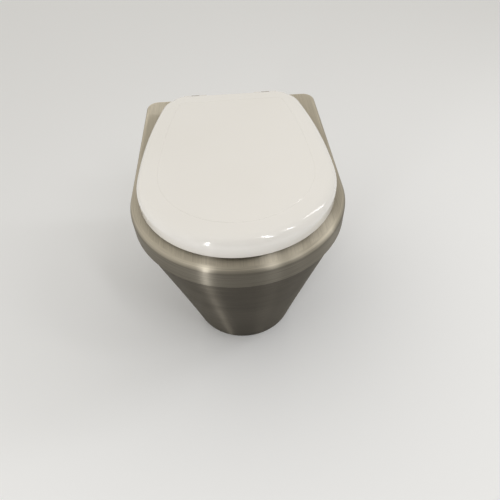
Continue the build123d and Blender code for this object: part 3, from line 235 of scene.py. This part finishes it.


# Above this height the deck steel gets a little more roughness and is painted brighter, a painted highlight on its
# upper rounded edge and flat top.
WHEEL_AND_PAINTED_LIGHT_Z = 0.405  # halfway up the deck's rounded edge
deck_steel = brushed_steel(
    "brushed_stainless_deck", "#8B867B", "#757066", 0.4, 0.03, 0.95, (WHEEL_AND_PAINTED_LIGHT_Z, 0.09, 2.9)
)
dress(deck_steel, "top_deck")
# The same steel as the deck's, painted darker: painted shade that makes the pedestal look darker than the deck.
shell_steel_painted_dark = brushed_steel("brushed_stainless_shell_painted_shade", "#6C675D", "#49443C", 0.42, 0.05, 0.86)
dress(shell_steel_painted_dark, "pedestal_shell")


# Bowl and rinse ring: the same stainless steel, spun and polished inside so that it rinses clean.
# The bowl's flange is welded under the deck's opening, and the ring is clipped under the lip.
bowl_steel = brushed_steel("spun_stainless_bowl", "#BDB9B0", "#A6A198", 0.18, 0.012, 0.95)
dress(bowl_steel, "bowl", "rinse_ring")


# Lid: one compression moulding of urea resin, glossy and warm white, with its own rolled edge and a
# soft crease where the flat top starts. Two lugs at its back turn on the hinge rod.
lid_low, lid_high = (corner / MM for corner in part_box("lid"))
hinge_y, hinge_z = (value / MM for value in frame["joints"][0]["pos_m"][1:])
LID_HALF = lid_high.x
LID_LINE_Y = lid_low.y + LID_HALF
LID_BACK_Y = hinge_y - 14.0
LID_LOW_Z = lid_low.z
LID_TOP_Z = lid_high.z
LID_SIDE_RADIUS = 960.0
LID_CORNER = 52.0
LID_WALL = 4.0
LID_ROLL = 19.0
LID_CREASE_INSET = 38.0  # from the outline to where the flat top starts
LID_BEVEL_DROP = 5.0  # how far the sloped border falls on its way out
LID_SLOPE = atan2(LID_BEVEL_DROP, LID_CREASE_INSET)
BACK_POWER = 4.0  # 2 is a round roll along the back, more is squarer
LID_HEEL_Y = hinge_y - 33.0  # behind this line the skirt is cut away to clear the seat
LID_HEEL_LIFT = 10.0
FRONT_STEPS = 96
SIDE_STEPS = 20
ROLL_STEPS = 14
CREASE_RADIUS = 14.0
CREASE_STEPS = 4
CREASE_LINE = 1.0  # width of the moulding line where the flat top starts
SKIRT_STEPS = 3
SLOPE_STEPS = 2
NEAR_MM = 0.01  # a point or a face this close to a plane counts as on it
MERGE_MM = 0.001


def arc_points(centre, radius, start, sweep, steps):
    """Points along an arc, its first one left out, with angles in radians."""
    cx, cy = centre
    return [
        (cx + radius * cos(start + sweep * i / steps), cy + radius * sin(start + sweep * i / steps))
        for i in range(1, steps + 1)
    ]


def lid_path(inset):
    """The lid's outline, moved in by inset: a round front, slightly curved sides, round corners."""
    half = LID_HALF - inset
    side = LID_SIDE_RADIUS - inset
    corner = LID_CORNER - inset
    side_x = half - side
    rise = LID_BACK_Y - inset - LID_LINE_Y - corner
    corner_x = side_x + sqrt((side - corner) ** 2 - rise**2)
    lean = atan2(rise, corner_x - side_x)
    corner_y = LID_LINE_Y + rise
    back = [(corner_x * (1 - 2 * i / SIDE_STEPS), LID_BACK_Y - inset) for i in range(1, SIDE_STEPS)]
    return (
        arc_points((0, LID_LINE_Y), half, pi, pi, FRONT_STEPS)
        + arc_points((side_x, LID_LINE_Y), side, 0, lean, SIDE_STEPS)
        + arc_points((corner_x, corner_y), corner, lean, pi / 2 - lean, SIDE_STEPS)
        + back
        + arc_points((-corner_x, corner_y), corner, pi / 2, pi / 2 - lean, SIDE_STEPS)
        + arc_points((-side_x, LID_LINE_Y), side, pi - lean, lean, SIDE_STEPS)
    )


def disc_on(name, points, z):
    """A filled circle primitive whose rim is laid on the given points, in millimetres."""
    bpy.ops.object.select_all(action="DESELECT")
    bpy.ops.mesh.primitive_circle_add(
        vertices=len(points), radius=LID_HALF * MM, fill_type="NGON"
    )
    piece = bpy.context.object
    piece.name = name
    piece.data.name = name
    for vertex, (x, y) in zip(piece.data.vertices, points):
        vertex.co = (x * MM, y * MM, z * MM)
    return piece


def step_in(across, up):
    """Insets the selected face and lifts it, as one step round a rounded edge."""
    bpy.ops.mesh.inset(thickness=across * MM, depth=up * MM, use_even_offset=True)


def apply_all(piece):
    """Applies every modifier of a piece in its order."""
    bpy.ops.object.select_all(action="DESELECT")
    piece.select_set(True)
    bpy.context.view_layer.objects.active = piece
    for modifier in list(piece.modifiers):
        bpy.ops.object.modifier_apply(modifier=modifier.name)


def cut_box(piece, low, high):
    """Cuts a box, given by two corners in millimetres, out of a piece."""
    bpy.ops.object.select_all(action="DESELECT")
    bpy.ops.mesh.primitive_cube_add(size=1)
    cutter = bpy.context.object
    cutter.location = [(a + b) / 2 * MM for a, b in zip(low, high)]
    cutter.scale = [(b - a) * MM for a, b in zip(low, high)]
    bpy.ops.object.transform_apply(location=True, rotation=False, scale=True)
    cut = piece.modifiers.new("cut", "BOOLEAN")
    cut.operation = "DIFFERENCE"
    cut.object = cutter
    cut.solver = "EXACT"
    apply_all(piece)
    bpy.data.objects.remove(cutter)


lid = disc_on("lid_shell", lid_path(0), LID_LOW_Z)
straight_top = LID_TOP_Z - LID_BEVEL_DROP - LID_ROLL * tan(pi / 4 - LID_SLOPE / 2)
bpy.ops.object.mode_set(mode="EDIT")
bpy.ops.mesh.select_all(action="SELECT")
rise = (straight_top - LID_LOW_Z) / SKIRT_STEPS * MM
for step in range(SKIRT_STEPS):
    bpy.ops.mesh.extrude_region_move(TRANSFORM_OT_translate={"value": (0, 0, rise)})
roll_end = pi / 2 - LID_SLOPE
for step in range(ROLL_STEPS):
    low = roll_end * step / ROLL_STEPS
    high = roll_end * (step + 1) / ROLL_STEPS
    step_in(LID_ROLL * (cos(low) - cos(high)), LID_ROLL * (sin(high) - sin(low)))
roll_width = LID_ROLL * (1 - cos(roll_end))
crease_width = CREASE_RADIUS * sin(LID_SLOPE)
slope_width = LID_CREASE_INSET - roll_width - crease_width / 2
slope_step = slope_width / SLOPE_STEPS
for step in range(SLOPE_STEPS):
    step_in(slope_step, slope_step * sin(LID_SLOPE) / cos(LID_SLOPE))
for step in range(CREASE_STEPS):
    high = LID_SLOPE * (1 - step / CREASE_STEPS)
    low = LID_SLOPE * (1 - (step + 1) / CREASE_STEPS)
    step_in(CREASE_RADIUS * (sin(high) - sin(low)), CREASE_RADIUS * (cos(low) - cos(high)))
step_in(CREASE_LINE / 2, -CREASE_LINE / 3)
step_in(CREASE_LINE / 2, CREASE_LINE / 3)
step_in(CREASE_LINE, 0.0)
bpy.ops.mesh.select_all(action="DESELECT")
bpy.ops.object.mode_set(mode="OBJECT")
back_line = (LID_BACK_Y - LID_ROLL) * MM
for vertex in lid.data.vertices:
    across = (vertex.co.y - back_line) / (LID_ROLL * MM)
    up = (vertex.co.z / MM - straight_top) / LID_ROLL
    if across > 0 and up > 0:
        square = (across**BACK_POWER + up**BACK_POWER) ** (1 / BACK_POWER)
        push = hypot(across, up) / square - 1
        vertex.co.y += push * across * LID_ROLL * MM
        vertex.co.z += push * up * LID_ROLL * MM
for face in lid.data.polygons:
    face.select = face.center.z < (LID_LOW_Z + NEAR_MM) * MM
bpy.ops.object.mode_set(mode="EDIT")
bpy.ops.mesh.delete(type="FACE")
bpy.ops.mesh.select_all(action="SELECT")
bpy.ops.mesh.normals_make_consistent(inside=False)
bpy.ops.object.mode_set(mode="OBJECT")
wall = lid.modifiers.new("wall", "SOLIDIFY")
wall.thickness = LID_WALL * MM
wall.offset = -1
wall.use_even_offset = True
apply_all(lid)
CUT_WIDE = 200.0  # past the lid's sides
CUT_BACK_Y = 230.0
CUT_LOW_Z = LID_LOW_Z - 5.0
heel_top = (CUT_WIDE, CUT_BACK_Y, LID_LOW_Z + LID_HEEL_LIFT)
cut_box(lid, (-CUT_WIDE, LID_HEEL_Y, CUT_LOW_Z), heel_top)

SEAT_LUG_X = 59.5
NOTCH_HALF = 9.0  # leaves room for a seat lug on either side
NOTCH_TOP_Z = hinge_z + 8.5
for side in (-1, 1):
    left, right = sorted((side * (SEAT_LUG_X - NOTCH_HALF), side * (SEAT_LUG_X + NOTCH_HALF)))
    notch_top = (right, LID_BACK_Y + LID_ROLL, NOTCH_TOP_Z)
    cut_box(lid, (left, LID_HEEL_Y, CUT_LOW_Z), notch_top)

bpy.ops.object.select_all(action="DESELECT")
lugs = bpy.data.objects.new("lid_lugs", nodes["lid"].data.copy())
bpy.context.collection.objects.link(lugs)
lugs.select_set(True)
bpy.context.view_layer.objects.active = lugs
bpy.ops.object.mode_set(mode="EDIT")
bpy.ops.mesh.select_all(action="SELECT")
bpy.ops.mesh.customdata_custom_splitnormals_clear()
bpy.ops.mesh.remove_doubles(threshold=MERGE_MM * MM)
LUG_ROOT_Y = LID_BACK_Y + 0.6
LUG_SINK = 2.0  # how far the lugs reach into the back wall
cut_place = (0, LUG_ROOT_Y * MM, 0)
bpy.ops.mesh.bisect(plane_co=cut_place, plane_no=(0, 1, 0), clear_inner=True, use_fill=True)
bpy.ops.object.mode_set(mode="OBJECT")
for vertex in lugs.data.vertices:
    vertex.select = vertex.co.y < (LUG_ROOT_Y + NEAR_MM) * MM
bpy.ops.object.mode_set(mode="EDIT")
bpy.ops.mesh.select_mode(type="VERT")
bpy.ops.transform.translate(value=(0, -LUG_SINK * MM, 0))
bpy.ops.object.mode_set(mode="OBJECT")
bpy.ops.object.select_all(action="DESELECT")
lugs.select_set(True)
lid.select_set(True)
bpy.context.view_layer.objects.active = lid
bpy.ops.object.join()
SHARP_ANGLE = radians(30)  # edges sharper than this stay sharp
bpy.ops.object.shade_smooth_by_angle(angle=SHARP_ANGLE)


FLOW_MM = 167.0
RUB_MM = 18.0
PEEL_MM = 5.0
PEEL_DEPTH_MM = 0.012


def moulded_white(name, tint, shadow_tint):
    """Urea resin: glossy warm white with a trace of flow marks, orange peel and fine rub marks."""
    material, tree, shader, place = new_material(name)
    flow = add_node(tree, "TexNoise", {"Vector": place, "Scale": 1 / (FLOW_MM * MM), "Detail": 3.0})
    tints = {0: flow.outputs["Fac"], 6: linear(shadow_tint), 7: linear(tint)}
    blend = add_node(tree, "Mix", tints, data_type="RGBA")
    tree.links.new(blend.outputs[2], shader.inputs["Base Color"])
    rub = add_node(tree, "TexNoise", {"Vector": place, "Scale": 1 / (RUB_MM * MM), "Detail": 6.0})
    gloss = add_node(tree, "MapRange", {"Value": rub.outputs["Fac"], "To Min": 0.06, "To Max": 0.2})
    tree.links.new(gloss.outputs["Result"], shader.inputs["Roughness"])
    peel = add_node(tree, "TexNoise", {"Vector": place, "Scale": 1 / (PEEL_MM * MM), "Detail": 2.0})
    relief = {"Height": peel.outputs["Fac"], "Distance": PEEL_DEPTH_MM * MM, "Strength": 0.5}
    tree.links.new(add_node(tree, "Bump", relief).outputs["Normal"], shader.inputs["Normal"])
    shader.inputs["IOR"].default_value = 1.56
    shader.inputs["Coat Weight"].default_value = 0.3
    shader.inputs["Coat Roughness"].default_value = 0.05
    return material


lid_white = moulded_white("urea_resin_lid", "#EFEDEA", "#EAE7E2")
lid.data.materials.clear()
lid.data.materials.append(lid_white)
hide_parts("lid")
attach(lid, "lid_assembly")


# Seat: the same resin as the lid, a closed ring moulded in one with two lugs for the rod. Its edges
# are rounded where a person sits, and it stands on four buffers.
dress(moulded_white("urea_resin_seat", "#EBE8E2", "#E5E1DA"), "seat")


# Buffers and joints in black rubber: pads under the seat and the lid, the elbow boot, the sleeve,
# the hose and the grommet. Moulded EPDM is matt, with a faint pebble and a dusty bloom.
PEBBLE_MM = 0.8
PEBBLE_DEPTH_MM = 0.05
BLOOM_MM = 25.0


def moulded_rubber(name, tint, bloom):
    """Black EPDM rubber with a fine pebble and pale bloom in patches."""
    material, tree, shader, place = new_material(name)
    dust = add_node(tree, "TexNoise", {"Vector": place, "Scale": 1 / (BLOOM_MM * MM), "Detail": 5.0})
    spread = {"Value": dust.outputs["Fac"], "From Min": 0.45, "From Max": 0.8}
    spread = add_node(tree, "MapRange", spread).outputs["Result"]
    blend = add_node(tree, "Mix", {0: spread, 6: linear(tint), 7: linear(bloom)}, data_type="RGBA")
    tree.links.new(blend.outputs[2], shader.inputs["Base Color"])
    shader.inputs["Roughness"].default_value = 0.72
    shader.inputs["Specular IOR Level"].default_value = 0.35
    grit = {"Vector": place, "Scale": 1 / (PEBBLE_MM * MM), "Detail": 2.0}
    pebble = add_node(tree, "TexNoise", grit).outputs["Fac"]
    relief = {"Height": pebble, "Distance": PEBBLE_DEPTH_MM * MM, "Strength": 0.6}
    tree.links.new(add_node(tree, "Bump", relief).outputs["Normal"], shader.inputs["Normal"])
    return material


rubber = moulded_rubber("moulded_epdm_rubber", "#1B1A19", "#2E2C29")
dress(rubber, "seat_buffers", "lid_buffers", "elbow_boot", "outlet_sleeve", "rinse_hose")
dress(rubber, "pipe_grommet", "water_valve_plunger")


# Hinge and fixings: stainless posts, rod, bolts, screws and clamps, turned and polished, with fine
# tool lines. The posts stand on the deck, and bolts and backing plates under it hold them.
TOOL_LINE_MM = 0.7
HANDLED_MM = 16.7  # from one dulled patch to the next


def turned_metal(name, light, dark, roughness):
    """A machined metal with fine even tool lines and small changes in gloss."""
    material, tree, shader, place = new_material(name)
    fine = {"Vector": place, "Scale": 1 / (TOOL_LINE_MM * MM), "Detail": 3.0}
    lines = add_node(tree, "TexNoise", fine).outputs["Fac"]
    blend = add_node(tree, "Mix", {0: lines, 6: linear(dark), 7: linear(light)}, data_type="RGBA")
    tree.links.new(blend.outputs[2], shader.inputs["Base Color"])
    patch = {"Vector": place, "Scale": 1 / (HANDLED_MM * MM), "Detail": 3.0}
    patch = add_node(tree, "TexNoise", patch).outputs["Fac"]
    gloss = {"Value": patch, "To Min": roughness - 0.06, "To Max": roughness + 0.08}
    gloss = add_node(tree, "MapRange", gloss)
    tree.links.new(gloss.outputs["Result"], shader.inputs["Roughness"])
    shader.inputs["Metallic"].default_value = 1.0
    return material


polished_steel = turned_metal("turned_stainless_fixings", "#C4C1BA", "#ABA79F", 0.2)
dress(polished_steel, "hinge_post_left", "hinge_post_right", "hinge_pins", "hinge_bolts")
dress(polished_steel, "hinge_washers", "hinge_backing", "panel_screws", "cover_screws")
dress(polished_steel, "cradle_bolts", "tie_rods", "hose_clamps")


# Springs: the valve's return spring, the water valve's and the button's, each wound from round
# stainless wire and cut square at its ends. In use they shorten as the part that they push back
# moves; here each coil is built once at the length of its part and stays with the body.
SPRING_WIRES = {  # wire in millimetres, and turns
    "return_spring": (2.4, 5),
    "water_valve_spring": (1.2, 3),
    "button_spring": (1.6, 4),
}
WIRE_SIDES = 12
TURN_STEPS = 40
END_ANGLE = radians(50)  # edges sharper than this, at the cut ends, stay sharp


def wound_spring(name, low, high, wire, turns):
    """A coil of round wire that fills the box from low to high, all in metres."""
    bpy.ops.object.select_all(action="DESELECT")
    bpy.ops.mesh.primitive_circle_add(vertices=WIRE_SIDES, radius=wire / 2, rotation=(pi / 2, 0, 0))
    spring = bpy.context.object
    spring.name = name
    spring.data.name = name
    bpy.ops.object.transform_apply(location=False, rotation=True, scale=False)
    bpy.ops.object.mode_set(mode="EDIT")
    bpy.ops.mesh.select_all(action="SELECT")
    bpy.ops.transform.translate(value=((high.x - low.x - wire) / 2, 0, 0))
    bpy.ops.object.mode_set(mode="OBJECT")
    winding = spring.modifiers.new("winding", "SCREW")
    winding.iterations = turns
    winding.screw_offset = (high.z - low.z - wire) / turns
    winding.steps = winding.render_steps = TURN_STEPS
    apply_all(spring)
    bpy.ops.object.mode_set(mode="EDIT")
    bpy.ops.mesh.select_all(action="SELECT")
    bpy.ops.mesh.remove_doubles(threshold=MERGE_MM * MM)
    bpy.ops.mesh.fill_holes(sides=WIRE_SIDES)
    bpy.ops.mesh.normals_make_consistent(inside=False)
    bpy.ops.object.mode_set(mode="OBJECT")
    bpy.ops.object.shade_smooth_by_angle(angle=END_ANGLE)
    spring.location = ((low.x + high.x) / 2, (low.y + high.y) / 2, low.z + wire / 2)
    bpy.ops.object.transform_apply(location=True, rotation=False, scale=False)
    return spring


spring_steel = turned_metal("drawn_spring_wire", "#9C9A95", "#807E79", 0.28)
for joint in frame["record"]["behaviour"]["joints"]:
    for soft in joint.get("deforming_nodes", []):
        node = soft["node"]
        wire, turns = SPRING_WIRES[node]
        low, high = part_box(node)
        spring = wound_spring(node + "_coil", low, high, wire * MM, turns)
        spring.data.materials.append(spring_steel)
        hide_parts(node)
        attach(spring, "toilet_body")
        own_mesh(spring)


# Flush button: a chromed brass bezel and a white resin cap, sunk in the deck behind the lid. A ring
# nut under the deck holds the housing, and a spring pushes the cap up.
bezel_chrome = turned_metal("bright_chrome_bezel", "#D2D2D0", "#C2C2C0", 0.1)
dress(bezel_chrome, "button_housing")
dress(moulded_white("urea_resin_button", "#EFEDEA", "#EAE7E2"), "flush_button")


# Rear panel, its flanges, the cradle strap and the floor feet: bent stainless sheet, mill finish
# with a light brush.
panel_steel = brushed_steel("brushed_stainless_panel", "#A39F96", "#8A867D", 0.32, 0.03, 0.95)
dress(panel_steel, "rear_panel", "panel_flange_left", "panel_flange_right")
dress(panel_steel, "valve_cradle", "floor_feet")


# Plastic parts: the valve and its actuator in dark glass-filled nylon, the pipe and the gate in
# grey PVC, and the pilot tubes in milky polyethylene.
MOTTLE_MM = 28.6


def moulded_plastic(name, light, dark, roughness, grain_mm, depth_mm):
    """A matt moulded plastic with a spark-eroded grain and faint mottling."""
    material, tree, shader, place = new_material(name)
    mottle = {"Vector": place, "Scale": 1 / (MOTTLE_MM * MM), "Detail": 5.0}
    mottle = add_node(tree, "TexNoise", mottle).outputs["Fac"]
    tints = {0: mottle, 6: linear(dark), 7: linear(light)}
    blend = add_node(tree, "Mix", tints, data_type="RGBA")
    tree.links.new(blend.outputs[2], shader.inputs["Base Color"])
    shader.inputs["Roughness"].default_value = roughness
    pits = {"Vector": place, "Scale": 1 / (grain_mm * MM), "Detail": 2.0}
    grain = add_node(tree, "TexNoise", pits).outputs["Fac"]
    relief = {"Height": grain, "Distance": depth_mm * MM, "Strength": 0.5}
    tree.links.new(add_node(tree, "Bump", relief).outputs["Normal"], shader.inputs["Normal"])
    return material


nylon = moulded_plastic("glass_filled_nylon", "#3C3E40", "#323436", 0.5, 0.7, 0.04)
dress(nylon, "valve_body", "actuator_cylinder", "actuator_cap", "vacuum_breaker", "control_unit")
dress(nylon, "control_cover", "check_valve", "button_nut")
pipe_grey = moulded_plastic("extruded_pvc_pipe", "#8F9193", "#85878A", 0.35, 1.5, 0.015)
dress(pipe_grey, "outlet_pipe", "gate")
tube_milk = moulded_plastic("milky_polyethylene_tube", "#C9CFD2", "#BEC5C8", 0.3, 1.2, 0.01)
dress(tube_milk, "button_tube", "actuator_tube", "pilot_tube", "vacuum_tube")


# Water side: the valve body, its nipple and the locknut are turned brass, a little dulled. The
# locknut clamps the nipple in the rear panel.
brass = turned_metal("turned_brass", "#B59A5C", "#9A7F45", 0.26)
dress(brass, "water_valve_body", "inlet_nipple", "inlet_locknut")
